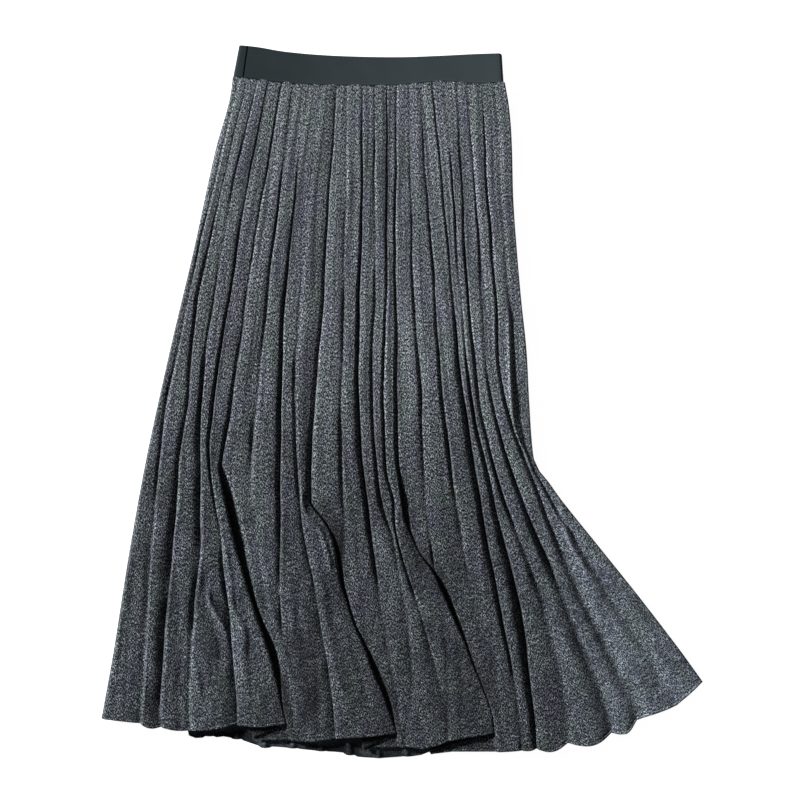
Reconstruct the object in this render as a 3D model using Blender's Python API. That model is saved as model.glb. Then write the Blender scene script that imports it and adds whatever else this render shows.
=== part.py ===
"""Pleated midi skirt, laid flat with its front up.

The back panel lies on the surface, the front panel lies on it, and both hang from an elastic waistband that is
pressed flat.  X runs to the right across the skirt, Y up to the waist and Z away from the surface.  The origin is
under the middle of the skirt.

Sizes are in millimetres.  "Down" is the distance below the waistband's highest corner, measured along the skirt,
and x is the distance to the right of the middle.
"""
import math
from collections import namedtuple

import bpy
from mathutils import Vector

MM = 0.001

# ---------------------------------------------------------------- driving sizes
LENGTH = 814.0          # from the waistband's highest corner to the lowest point of the hem
HALF_WIDTH = 343.0      # half of the width across the spread hem
KNIT = 1.4              # thickness of the pleated knit
ELASTIC = 1.8           # thickness of the waistband
SEAM_GAP = 0.3          # pieces stand this far apart where they are sewn

BAND_FRONT_HEIGHT = 6.4     # middle of the band's front layer, above the surface
BACK_FOLD_HEIGHT = 2.3      # how far a fold of the back panel stands off the surface
FRONT_LOW = 5.4             # middle of the front knit in the bottom of a groove

# a pleat that topples and laps over its neighbour
FOLD_STEP = 2.8             # from one layer to the next, at its inner bend
LAP_STEP = 2.6              # from one layer to the next, at its outer bend
LAP_RISE = 0.6              # how much it opens from its inner to its outer bend
BEND = 2.1                  # how far back from a bend the layers run straight
SHARP_BEND = 0.3            # the same where the pleat only just begins to lap over
LAPS_WITHIN = (-6.0, 2.0)   # it turns over while its outer bend goes from before to past the inner one
LIFT_WITHIN = (-10.0, -2.0)     # how near the inner bend comes to the groove before it as it lifts it
LIFTED_LAYERS = 2.3         # how many layers it lifts it by
PRESSED_SHARE = 0.92        # how much of its own height the cloth under a lap loses
LAP_SHADOW = (9.0, 24.0)    # how far past a lap that cloth starts to rise and is as high as elsewhere

# ---------------------------------------------------------------- outline
# down, x along the side seams
LEFT_SIDE = ((36, -193), (63, -197), (120, -213), (234, -238), (348, -265), (462, -290), (576, -311),
             (690, -329), (768, -HALF_WIDTH))
RIGHT_SIDE = ((42, 117), (63, 121), (90, 124), (120, 125.5), (177, 127), (234, 131), (291, 136), (348, 142),
              (405, 145), (462, 149), (480, 153), (498, 167), (519, 182), (575, 227), (630, 271), (690, 317),
              (726, HALF_WIDTH))
# the same for the smoother line that the back panel's pleats fan out to
BACK_GORE = ((42, 117), (234, 135), (400, 170), (519, 222), (630, 285), (726, HALF_WIDTH))
# x, down along the edges of the waistband
BAND_TOP = ((-186, 0), (-165, 2), (-136, 7), (-94, 11), (-48, 13), (0, 13.5), (43, 12), (83, 10), (114, 9))
BAND_JOIN = ((-193, 36), (-173, 38), (-151, 41), (-116, 44), (-71, 45.5), (-8, 45.5), (20, 43), (48, 41),
             (83, 43.5), (116, 42))
# x, down along the hem of the back panel
BACK_HEM = ((-HALF_WIDTH, 767), (-287, 772), (-253, 778), (-241, 786), (-234, 791), (-206, 791), (-184, 793),
            (-165, 798), (-149, 803), (-126, 802), (-94, 806), (-71, 807), (-47, 812), (-24, LENGTH),
            (23, 812), (43, 806), (112, 801), (157, 799), (191, 791), (226, 780), (271, 765),
            (294, 756), (309, 750), (316, 748), (328, 735), (HALF_WIDTH, 726))

# ---------------------------------------------------------------- pleats of the front panel
STATIONS = (60, 175, 290, 405, 520, 635, 750)       # down, where the rows below give a groove's x
KNEES = (60, 405, 750)                              # down, where they give its depth and the next crest

# One row for each groove: x at the seven stations, then the groove's end at the hem as x and down, then how deep
# it is at waist, knee and hem (1 is down to the back panel), then where the crest of the pleat to its right
# lies between the two grooves at waist, knee and hem (0.5 is half way), and how much lower the hem lies there.
Groove = namedtuple("Groove", "name x60 x175 x290 x405 x520 x635 x750 hem_x hem_down"
                              " deep_waist deep_knee deep_hem crest_waist crest_knee crest_hem hem_bow")
GROOVES = (
    Groove("a", -191, -218, -243, -267, -283, -297, -307, -309, 773, 0.5, 0.6, 0.6, 0.50, 0.30, 0.45, 3.5),
    Groove("b", -181, -208, -232, -247, -258, -269, -279, -278, 777, 0.5, 0.6, 0.9, 0.50, 0.40, 0.25, 2.0),
    Groove("c", -169, -195, -214, -229, -232, -240, -243, -243, 781, 0.6, 0.9, 0.5, 0.45, 0.35, 0.25, 2.0),
    Groove("d", -156, -178, -197, -213, -216, -201, -189, -187, 774, 0.6, 0.9, 0.6, 0.50, 0.35, 0.50, 3.0),
    Groove("e", -140, -159, -178, -193, -196, -185, -173, -169, 792, 0.6, 0.9, 1.0, 0.50, 0.30, 0.50, 0.5),
    Groove("f", -126, -140, -153, -165, -172, -155, -149, -148, 793, 0.6, 0.6, 0.4, 0.50, 0.30, 0.50, 0.0),
    Groove("g", -108, -123, -135, -140, -141, -141, -127, -126, 793, 0.6, 1.0, 0.6, 0.50, 0.30, 0.50, 2.5),
    Groove("h", -92, -106, -115, -122, -116, -97, -78, -76, 790, 0.5, 0.7, 0.8, 0.50, 0.40, 0.50, 1.0),
    Groove("i", -75, -83, -90, -99, -104, -78, -55, -43, 805, 0.8, 0.8, 1.0, 0.50, 0.65, 0.60, 0.0),
    Groove("j", -63, -65, -69, -72, -69, -61, -38, -30, 801, 0.6, 0.8, 0.4, 0.50, 0.30, 0.50, 0.5),
    Groove("k", -45, -46, -49, -51, -45, -26, -6, 3, 800, 0.6, 1.0, 0.3, 0.50, 0.55, 0.40, 0.0),
    Groove("l", -31, -31, -32, -35, -26, 1, 16, 23, 802, 0.5, 1.0, 0.2, 0.50, 0.50, 0.50, 1.0),
    Groove("m", -17, -17, -18, -21, -15, 17, 49, 55, 793, 1.0, 1.0, 0.2, 0.50, 0.60, 0.50, 0.0),
    Groove("n", -6, -7, -7, -6, -1, 15, 30, 32, 809, 0.6, 0.9, 1.0, 0.50, 0.70, 0.50, 0.0),
    Groove("o", 8, 10, 14, 22, 27, 41, 55, 57, 806, 0.6, 0.9, 0.3, 0.50, 0.35, 0.60, 0.0),
    Groove("p", 22, 28, 36, 45, 61, 80, 98, 102, 806, 0.6, 0.8, 0.3, 0.50, 0.45, 0.70, 0.5),
    Groove("q", 36, 47, 56, 68, 87, 110, 132, 136, 804, 0.6, 1.0, 1.0, 0.50, 0.50, 0.65, 1.5),
    Groove("r", 49, 59, 67, 80, 104, 128, 148, 154, 802, 0.7, 1.0, 1.0, 0.50, 0.40, 0.70, 6.5),
    Groove("s", 63, 69, 76, 88, 117, 160, 185, 189, 795, 0.5, 0.9, 0.9, 0.50, 0.50, 0.65, 8.5),
    Groove("t", 76, 84, 92, 102, 136, 181, 222, 230, 784, 0.6, 0.7, 0.8, 0.50, 0.50, 0.65, 7.5),
    Groove("u", 92, 98, 107, 117, 159, 206, 264, 268, 770, 0.6, 0.7, 0.6, 0.50, 0.50, 0.60, 0.0),
)
LAST_GROOVE_SHARE = 0.50            # groove v lies this share of the way from groove u to the right side
LAST_GROOVE_HEM_DOWN = 753
LAST_GROOVE_SHAPE = (0.5, 0.5, 0.3, 0.50, 0.50, 0.50)
FIRST_PLEAT_CREST = 0.45

# Three pleats topple to the right towards the hem and lap over their neighbours.  Each row gives the outer bend
# of the pleat between the groove named and the next one, at the same stations and at the hem.
Lap = namedtuple("Lap", "groove x60 x175 x290 x405 x520 x635 x750 hem_x hem_down")
LAPS = (
    Lap("d", -148, -169, -187, -202, -202, -173, -135, -131, 774),
    Lap("h", -83, -94, -103, -112, -108, -63, -17, -16, 785),
    Lap("m", -12, -12, -12, -12, -7, 51, 98, 94, 785),
)

# down, how far a crest stands above the bottom of a full groove
CREST_RISE = ((36, 2.2), (60, 2.4), (120, 3.6), (175, 5.2), (290, 7.6), (405, 9.0), (520, 9.6), (635, 9.2),
              (750, 8.2), (LENGTH, 7.4))
STEEPEST_PLEAT = 0.50       # a crest is at most this share of its pleat's width above the groove
MOST_LEAN = 0.25            # how far a crest may lie off the middle of its pleat, as a share of its width

# ---------------------------------------------------------------- how the sections are divided
LEVEL_HEM = 800.0           # where the last section would lie if the hem were level
FRONT_ROWS = (0.0, 0.05, 0.11, 0.18, 0.25, 0.32, 0.39, 0.46, 0.52, 0.58, 0.62, 0.65, 0.68, 0.72, 0.77, 0.83,
              0.89, 0.95, 1.0)
BACK_ROWS = (0.0, 0.08, 0.16, 0.25, 0.34, 0.43, 0.51, 0.58, 0.625, 0.66, 0.73, 0.80, 0.87, 0.94, 1.0)
ARCH_STEPS = (0.0, 0.17, 0.38, 0.62, 0.83)                          # across a pleat, from groove to groove
LAP_STEPS = (0.0, 0.17, 0.38, 0.54, 0.64, 0.72, 0.78, 0.84)         # the same across a pleat that topples
BACK_PLEATS = 23
BACK_FOLD_SHARE = 0.16      # half of a back fold's width, as a share of its pleat
WIDEST_BACK_FOLD = 4.5
HEM_SEARCH_STEPS = 20
BAND_FRONT_STEPS = 32
BAND_BEND_STEPS = 5
MITRE_LIMIT = 1.8           # longest step from the middle of a wall to its face, in half thicknesses
SHARPEST_CORNER = 0.05      # 1 + the cosine between the sides of a corner, at least

KNIT_COLOUR = (0.055, 0.062, 0.072, 1.0)
ELASTIC_COLOUR = (0.040, 0.048, 0.052, 1.0)


# ---------------------------------------------------------------- numbers
def lerp(start, end, share):
    return start + (end - start) * share


def ease(low, high, value):
    """0 below low, 1 above high, and a smooth step between them."""
    share = min(max((value - low) / (high - low), 0.0), 1.0)
    return share * share * (3.0 - 2.0 * share)


def curve(points, at):
    """The value at `at` on a smooth curve through (at, value) points, straight on past its ends."""
    last = len(points) - 1

    def slope(index):
        before, after = points[max(index - 1, 0)], points[min(index + 1, last)]
        return (after[1] - before[1]) / (after[0] - before[0])

    if at <= points[0][0]:
        return points[0][1] + slope(0) * (at - points[0][0])
    if at >= points[last][0]:
        return points[last][1] + slope(last) * (at - points[last][0])
    index = max(i for i in range(last) if points[i][0] <= at)
    (start, first), (end, second) = points[index], points[index + 1]
    span = end - start
    t = (at - start) / span
    return ((1 + 2 * t) * (1 - t) ** 2 * first + t * (1 - t) ** 2 * span * slope(index)
            + t * t * (3 - 2 * t) * second - t * t * (1 - t) * span * slope(index + 1))


def section_down(fraction, top, hem):
    """How far down a section lies: level along most of the skirt, and bent to the hem's shape near it."""
    return lerp(top, LEVEL_HEM, fraction) + (hem - LEVEL_HEM) * fraction ** 4


def line(row):
    """(down, x) points of a groove or a bend, from its row."""
    return tuple(zip(STATIONS, row[1:8])) + ((row.hem_down, row.hem_x),)


# ---------------------------------------------------------------- front panel
class Valley:
    """A groove or a side seam: where it runs, where it ends, and how deep it is (None for a side seam)."""

    def __init__(self, x, hem_down, deep):
        self.x, self.hem_down, self.deep = x, hem_down, deep
        self.before = self.after = None     # the lines on either side that bound the pleats beside it
        self.inner = None                   # the inner bend of a toppled pleat that may come under this groove

    def height(self, down):
        if self.deep is None:
            return 1.5 * KNIT + SEAM_GAP    # the front panel comes down to lie on the back panel
        x = self.x(down)
        width = min(abs(x - self.before(down)), abs(self.after(down) - x))
        height = FRONT_LOW + (1.0 - self.deep(down)) * crest_rise(down, width)
        if self.inner:
            over = ease(*LIFT_WITHIN, x - self.inner(down))
            height = max(height, lerp(height, FRONT_LOW + LIFTED_LAYERS * FOLD_STEP, over))
        return height


class Pleat:
    """The cloth between two neighbouring grooves; `outer` is the line of its outer bend if it topples."""

    def __init__(self, left, right, crest, hem_bow, outer, outer_hem_down):
        self.left, self.right, self.crest, self.hem_bow = left, right, crest, hem_bow
        self.outer, self.outer_hem_down = outer, outer_hem_down

    def passed(self, down):
        """How far the outer bend of a toppled pleat has passed its inner bend."""
        return self.outer(down) - self.right.x(down)

    def lapped(self, down):
        """0 where a toppling pleat still stands upright, 1 where it laps over its neighbour."""
        return ease(*LAPS_WITHIN, self.passed(down))

    def bend(self, down):
        """How far back from its bends the layers of a toppled pleat run straight."""
        return min(max(self.passed(down) / 2, SHARP_BEND), BEND)


def crest_rise(down, width):
    """How far the crest of a pleat of this width stands above the bottom of a full groove."""
    return min(curve(CREST_RISE, down), STEEPEST_PLEAT * width)


def along(points):
    return lambda down: curve(points, down)


def share_between(values):
    """A share that changes from waist over knee to hem, kept between 0 and 1."""
    points = tuple(zip(KNEES, values))
    return lambda down: min(max(curve(points, down), 0.0), 1.0)


def last_groove_line(before, after):
    return lambda down: lerp(before(down), after(down), LAST_GROOVE_SHARE)


def front_pleats():
    """The pleats of the front panel from left to right."""
    left_side, right_side = along(LEFT_SIDE), along(RIGHT_SIDE)
    valleys = [Valley(left_side, LEFT_SIDE[-1][0], None)]
    valleys += [Valley(along(line(row)), row.hem_down, share_between(row[10:13])) for row in GROOVES]
    last_line = last_groove_line(valleys[-1].x, right_side)
    valleys.append(Valley(last_line, LAST_GROOVE_HEM_DOWN, share_between(LAST_GROOVE_SHAPE[:3])))
    valleys.append(Valley(right_side, RIGHT_SIDE[-1][0], None))

    crests = [(FIRST_PLEAT_CREST,) * 3] + [row[13:16] for row in GROOVES] + [LAST_GROOVE_SHAPE[3:]]
    bows = [0.0] + [row.hem_bow for row in GROOVES] + [0.0]
    laps = {row.groove: row for row in LAPS}
    pleats = []
    for index, name in enumerate(["side"] + [row.name for row in GROOVES] + ["v"]):
        left, right = valleys[index], valleys[index + 1]
        lap = laps.get(name)
        outer = along(line(lap)) if lap else None
        left.after, right.before = outer or right.x, left.x
        left.inner = right.x if lap else None
        pleats.append(Pleat(left, right, share_between(crests[index]), bows[index], outer,
                            lap.hem_down if lap else None))
    return pleats


def arch(pleat, share, down):
    """x and height of an upright pleat, `share` of the way across it."""
    left, right = pleat.left.x(down), pleat.right.x(down)
    lean = min(max(pleat.crest(down), 0.5 - MOST_LEAN), 0.5 + MOST_LEAN) - 0.5
    bow = math.sin(math.pi * share)
    low = lerp(pleat.left.height(down), pleat.right.height(down), share)
    top = FRONT_LOW + crest_rise(down, abs(right - left))
    return lerp(left, right, share + lean * bow), max(low, lerp(low, top, bow))


def lap_section(pleat, down):
    """x and height along a toppled pleat: up its side, over the crest, round both bends and under itself."""
    left, inner, outer = pleat.left.x(down), pleat.right.x(down), pleat.outer(down)
    bend = pleat.bend(down)
    lap_top = FRONT_LOW + FOLD_STEP + LAP_RISE + LAP_STEP
    low = pleat.left.height(down)
    crest = max(FRONT_LOW + crest_rise(down, outer - left), lap_top + LAP_RISE)
    return ((left, low),
            (lerp(left, outer, 0.12), lerp(low, crest, 0.7)),       # its side, most of the way up
            (lerp(left, outer, 0.46), crest),
            (outer - bend, lap_top),
            (outer, lap_top - LAP_STEP / 2),
            (outer - bend, lap_top - LAP_STEP),
            (inner + bend, FRONT_LOW + FOLD_STEP),
            (inner, FRONT_LOW + FOLD_STEP / 2))


def pressed(x, height, laps, down):
    """The height of cloth at x that may lie under a lap to its left, pressed flat there."""
    for pleat in laps:
        if x > pleat.right.x(down) - BEND:
            clear = ease(*LAP_SHADOW, x - pleat.outer(down))
            height = lerp(height, FRONT_LOW, PRESSED_SHARE * pleat.lapped(down) * (1.0 - clear))
    return height


def front_columns():
    """For each point across the front panel: where it ends at the hem, and a function for x and height."""
    pleats = front_pleats()
    columns = []
    laps = ()           # toppled pleats to the left of the one in hand
    for pleat in pleats:
        if pleat.outer:
            columns += [lap_column(pleat, index, laps) for index in range(len(LAP_STEPS))]
            laps += (pleat,)
        else:
            columns += [arch_column(pleat, share, laps) for share in ARCH_STEPS]
    last = pleats[-1].right
    columns.append((last.hem_down, lambda down: (last.x(down), last.height(down))))
    return columns


def arch_column(pleat, share, laps):
    """The hem and the place of one point of an upright pleat; `laps` are the toppled pleats to its left."""
    after_lap = share == 0.0 and laps and laps[-1].right is pleat.left

    def place(down):
        x, height = arch(pleat, share, down)
        if after_lap:
            x += laps[-1].bend(down) * laps[-1].lapped(down)
        return x, pressed(x, height, laps, down)

    hem_down = lerp(pleat.left.hem_down, pleat.right.hem_down, share)
    return hem_down + pleat.hem_bow * math.sin(math.pi * share), place


def lap_column(pleat, index, laps):
    """The same for one point of a pleat that topples: its fifth point is the outer bend."""
    share = LAP_STEPS[index]
    to_outer, under = min(index / 4, 1.0), max(index - 4, 0) / 4
    hem_down = lerp(pleat.left.hem_down, pleat.outer_hem_down, to_outer)
    hem_down = lerp(hem_down + pleat.hem_bow * math.sin(math.pi * to_outer), pleat.right.hem_down, under)

    def place(down):
        x, height = arch(pleat, share, down)
        lap_x, lap_height = lap_section(pleat, down)[index]
        lapped = pleat.lapped(down)
        return lerp(x, lap_x, lapped), pressed(x, lerp(height, lap_height, lapped), laps, down)

    return hem_down, place


def front_sections():
    """Sections of the front panel from waist to hem, each a row of (x, y, height) points."""
    columns = front_columns()
    sections = []
    for fraction in FRONT_ROWS:
        section = []
        for hem_down, place in columns:
            top = curve(BAND_JOIN, place(BAND_JOIN[0][1])[0]) + SEAM_GAP
            x, height = place(section_down(fraction, top, hem_down))
            section.append((x, LENGTH / 2 - section_down(fraction, top, hem_down), height))
        sections.append(section)
    return sections


# ---------------------------------------------------------------- back panel
def back_x(share, down):
    """x of a point that lies `share` of the way across the back panel."""
    left, right, gore = curve(LEFT_SIDE, down), curve(RIGHT_SIDE, down), curve(BACK_GORE, down)
    return lerp(left, gore, share) + (right - gore) * share ** 5


def back_hem_down(share):
    """Where that point's line meets the hem, found by going back and forth between the line and the hem."""
    down = LEVEL_HEM
    for _ in range(HEM_SEARCH_STEPS):
        down = curve(BACK_HEM, back_x(share, down))
    return down


def back_sections():
    """Sections of the back panel: faces flat on the surface, with a fold standing up between two of them."""
    columns = [(0.0, 0, 0)]     # share of the way across, half widths of a fold to the side, 1 on a fold's crest
    for pleat in range(1, BACK_PLEATS):
        share = pleat / BACK_PLEATS
        columns += [(share, -1, 0), (share, 0, 1), (share, 1, 0)]
    columns.append((1.0, 0, 0))
    sections = []
    for fraction in BACK_ROWS:
        section = []
        for share, side, crest in columns:
            top = curve(BAND_JOIN, back_x(share, BAND_JOIN[0][1])) + SEAM_GAP
            down = section_down(fraction, top, back_hem_down(share))
            width = curve(RIGHT_SIDE, down) - curve(LEFT_SIDE, down)
            half_fold = min(BACK_FOLD_SHARE * width / BACK_PLEATS, WIDEST_BACK_FOLD)
            section.append((back_x(share, down) + side * half_fold, LENGTH / 2 - down,
                            KNIT / 2 + crest * BACK_FOLD_HEIGHT))
        sections.append(section)
    return sections


# ---------------------------------------------------------------- waistband
def band_sections():
    """Three rings of the flattened waistband, from its top edge to its lower edge."""
    low, high = ELASTIC / 2, BAND_FRONT_HEIGHT
    radius = (high - low) / 2
    middle = (high + low) / 2
    sections = []
    for fraction in (0.0, 0.5, 1.0):
        left = lerp(BAND_TOP[0][0], BAND_JOIN[0][0], fraction) + ELASTIC / 2
        right = lerp(BAND_TOP[-1][0], BAND_JOIN[-1][0], fraction) - ELASTIC / 2
        ring = [(lerp(left + radius, right - radius, step / BAND_FRONT_STEPS), high)
                for step in range(BAND_FRONT_STEPS)]
        ring += [(right - radius + radius * math.sin(angle), middle + radius * math.cos(angle))
                 for angle in (math.pi * step / BAND_BEND_STEPS for step in range(BAND_BEND_STEPS))]
        ring += [(lerp(right - radius, left + radius, step / BAND_FRONT_STEPS), low)
                 for step in range(BAND_FRONT_STEPS)]
        ring += [(left + radius - radius * math.sin(angle), middle - radius * math.cos(angle))
                 for angle in (math.pi * step / BAND_BEND_STEPS for step in range(BAND_BEND_STEPS))]
        sections.append([(x, LENGTH / 2 - lerp(curve(BAND_TOP, x), curve(BAND_JOIN, x), fraction), height)
                         for x, height in ring])
    return sections


# ---------------------------------------------------------------- walls
def face_points(section, half, closed):
    """The two faces of a wall of cloth around a section, as rows of points above and below it."""
    count = len(section)
    above, below = [], []
    for index, (x, y, z) in enumerate(section):
        normals = []
        for start, end in ((index - 1, index), (index, index + 1)):
            if not closed and (start < 0 or end >= count):
                continue
            (x0, _, z0), (x1, _, z1) = section[start % count], section[end % count]
            length = math.hypot(x1 - x0, z1 - z0)
            normals.append(((z0 - z1) / length, (x1 - x0) / length))
        (ax, az), (bx, bz) = normals[0], normals[-1]
        spread = max(1.0 + ax * bx + az * bz, SHARPEST_CORNER)
        step_x, step_z = (ax + bx) / spread, (az + bz) / spread
        scale = min(1.0, MITRE_LIMIT / math.hypot(step_x, step_z))
        step_x, step_z = step_x * scale, step_z * scale
        above.append((x + half * step_x, y, z + half * step_z))
        below.append((x - half * step_x, y, z - half * step_z))
    return above, below


def wall_mesh(name, sections, thickness, closed=False):
    """A closed wall of cloth lofted through sections; a closed section makes a ring of it.

    Both of its faces are split along the same, shorter diagonals, so that it keeps its thickness where it twists.
    """
    count, rows = len(sections[0]), len(sections)
    points = []
    for section in sections:
        above, below = face_points(section, thickness / 2, closed)
        points += above + below

    def above(row, column):
        return row * 2 * count + column % count

    def below(row, column):
        return row * 2 * count + count + column % count

    across = count if closed else count - 1
    faces = []
    for row in range(rows - 1):
        for column in range(across):
            corners = ((row, column), (row + 1, column), (row + 1, column + 1), (row, column + 1))
            places = [Vector(sections[r][c % count]) for r, c in corners]
            if (places[0] - places[2]).length > (places[1] - places[3]).length:
                corners = corners[1:] + corners[:1]
            for triangle in (corners[:3], (corners[2], corners[3], corners[0])):
                faces.append([above(*corner) for corner in triangle])
                faces.append([below(*corner) for corner in reversed(triangle)])
    for column in range(across):
        faces.append((above(0, column), above(0, column + 1), below(0, column + 1), below(0, column)))
        faces.append((below(rows - 1, column), below(rows - 1, column + 1), above(rows - 1, column + 1),
                      above(rows - 1, column)))
    if not closed:
        for row in range(rows - 1):
            faces.append((above(row, 0), below(row, 0), below(row + 1, 0), above(row + 1, 0)))
            faces.append((above(row + 1, across), below(row + 1, across), below(row, across), above(row, across)))
    mesh = bpy.data.meshes.new(name)
    mesh.from_pydata([(x * MM, y * MM, z * MM) for x, y, z in points], [], faces)
    mesh.shade_smooth()
    mesh.set_sharp_from_angle(angle=math.radians(50))
    return mesh


def cloth_material(name, colour, roughness):
    material = bpy.data.materials.new(name)
    material.use_nodes = True
    shader = material.node_tree.nodes["Principled BSDF"]
    shader.inputs["Base Color"].default_value = colour
    shader.inputs["Roughness"].default_value = roughness
    shader.inputs["Metallic"].default_value = 0.0
    return material


def add_piece(name, mesh, material, collection):
    mesh.materials.append(material)
    piece = bpy.data.objects.new(name, mesh)
    collection.objects.link(piece)
    return piece


def main():
    for old in list(bpy.data.objects):
        bpy.data.objects.remove(old, do_unlink=True)
    skirt = bpy.data.collections.new("pleated_midi_skirt")
    bpy.context.scene.collection.children.link(skirt)

    knit = cloth_material("heather_knit", KNIT_COLOUR, 0.95)
    elastic = cloth_material("elastic", ELASTIC_COLOUR, 0.8)
    add_piece("front_panel", wall_mesh("front_panel", front_sections(), KNIT), knit, skirt)
    add_piece("back_panel", wall_mesh("back_panel", back_sections(), KNIT), knit, skirt)
    add_piece("waistband", wall_mesh("waistband", band_sections(), ELASTIC, closed=True), elastic, skirt)


main()
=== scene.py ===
"""Looks of the pleated midi skirt: its knit, elastic and fine folds, laid on a pale surface in studio light.

Sizes are in millimetres until a mesh is made.  "Down" is the distance below the waistband's highest corner,
measured along the skirt, and x is the distance to the right of the middle.
"""

import math
from collections import namedtuple

import bpy
import numpy as np
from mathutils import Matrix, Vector


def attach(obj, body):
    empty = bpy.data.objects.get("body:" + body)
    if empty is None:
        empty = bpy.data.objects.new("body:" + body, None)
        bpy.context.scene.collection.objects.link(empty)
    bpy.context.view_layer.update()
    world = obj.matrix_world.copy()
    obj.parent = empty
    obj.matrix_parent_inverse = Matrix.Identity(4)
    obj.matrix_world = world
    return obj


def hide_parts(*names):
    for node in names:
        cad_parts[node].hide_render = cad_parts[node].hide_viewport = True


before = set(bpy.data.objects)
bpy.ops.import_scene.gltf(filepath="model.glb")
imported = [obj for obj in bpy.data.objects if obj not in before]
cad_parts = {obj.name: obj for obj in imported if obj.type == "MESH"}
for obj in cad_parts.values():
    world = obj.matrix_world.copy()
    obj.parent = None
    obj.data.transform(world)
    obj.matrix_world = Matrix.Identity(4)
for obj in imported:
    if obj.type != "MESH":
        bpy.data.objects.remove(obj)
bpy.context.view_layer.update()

MM = 0.001
PI = math.pi

# ---- sizes of the cloth, as in the solids
LENGTH = 814
HALF_WIDTH = 343
KNIT = 1.4  # thickness of the pleated knit
ELASTIC = 1.8  # thickness of the waistband
SEAM_GAP = 0.3  # between the knit and the band
BAND_FRONT_HEIGHT = 6.4  # middle of the band's front layer
BACK_PLEATS = 23
BACK_FOLD_HEIGHT = 2.3  # how far a fold of the back stands up
FRONT_LOW = 5.4  # middle of the front knit in the bottom of a groove
FOLD_STEP = 2.8  # a toppled pleat: from layer to layer at its inner bend
LAP_STEP = 2.6  # and at least this at its outer bend
LAP_RISE = 0.6  # the layer between them is this much higher there
SHARP_BEND = 0.3  # least and greatest radius of its bends
ROLL_REACH = 3
LAP_ROLL = 6.5  # greatest height of its outer bend
LAPS_WITHIN = (-6, 2)  # it topples while its outer bend is this far past the groove at its right
LIFT_WITHIN = (-10, -2)  # the groove at its left is lifted on to its layers this far past its inner bend
LIFTED_LAYERS = 2.3
PRESSED_SHARE = 0.97  # how far the cloth beside it goes down into the gap

# ---- outline
# down, x along the side seams
LEFT_SIDE = ((36, -193), (63, -197), (120, -213), (234, -238), (348, -265), (462, -290), (576, -311),
             (690, -329), (768, -HALF_WIDTH))
RIGHT_SIDE = ((42, 117), (63, 121), (90, 124), (120, 125.5), (177, 127), (234, 131), (291, 136), (348, 142),
              (405, 145), (462, 149), (480, 153), (498, 167), (519, 182), (575, 227), (630, 271), (690, 317),
              (726, HALF_WIDTH))
BACK_GORE = ((42, 117), (234, 135), (400, 170), (519, 222), (630, 285), (726, HALF_WIDTH))
# x, down along the edges of the waistband
BAND_TOP = ((-186, 0), (-165, 2), (-136, 7), (-94, 11), (-48, 13), (0, 13.5), (43, 12), (83, 10), (114, 9))
BAND_JOIN = ((-193, 36), (-173, 38), (-151, 41), (-116, 44), (-71, 45.5), (-8, 45.5), (20, 43), (48, 41),
             (83, 43.5), (116, 42))
# x, down along the hem of the back panel
BACK_HEM = ((-HALF_WIDTH, 767), (-287, 772), (-250, 777), (-245, 787), (-240, 790.5), (-229, 791.5),
            (-226, 788.5), (-212, 790.5), (-208, 789), (-184, 793.5), (-167, 799), (-153, 803), (-148, 801),
            (-94, 806), (-67, 808), (-55, LENGTH - 2), (-40, LENGTH - 0.5), (-24, LENGTH), (0, 812.5),
            (21, 811), (25, 808.5), (43, 806), (112, 801), (157, 799), (191, 791), (226, 780), (271, 765),
            (294, 756), (309, 750), (316, 748), (328, 735), (HALF_WIDTH, 726))
# x, down along the hem of the front panel, roughly
FRONT_HEM = ((-300, 774), (-275, 778), (-242, 781), (-187, 774), (-170, 776), (-165, 791), (-126, 793),
             (-80, 791), (-50, 790), (-43, 803), (-30, 801), (3, 800), (30, 808), (57, 806), (100, 801),
             (150, 801), (210, 790), (270, 767), (HALF_WIDTH, 726))

# ---- pleats of the front panel
STATIONS = (60, 175, 290, 405, 520, 635, 750)
KNEES = (60, 405, 750)
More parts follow.
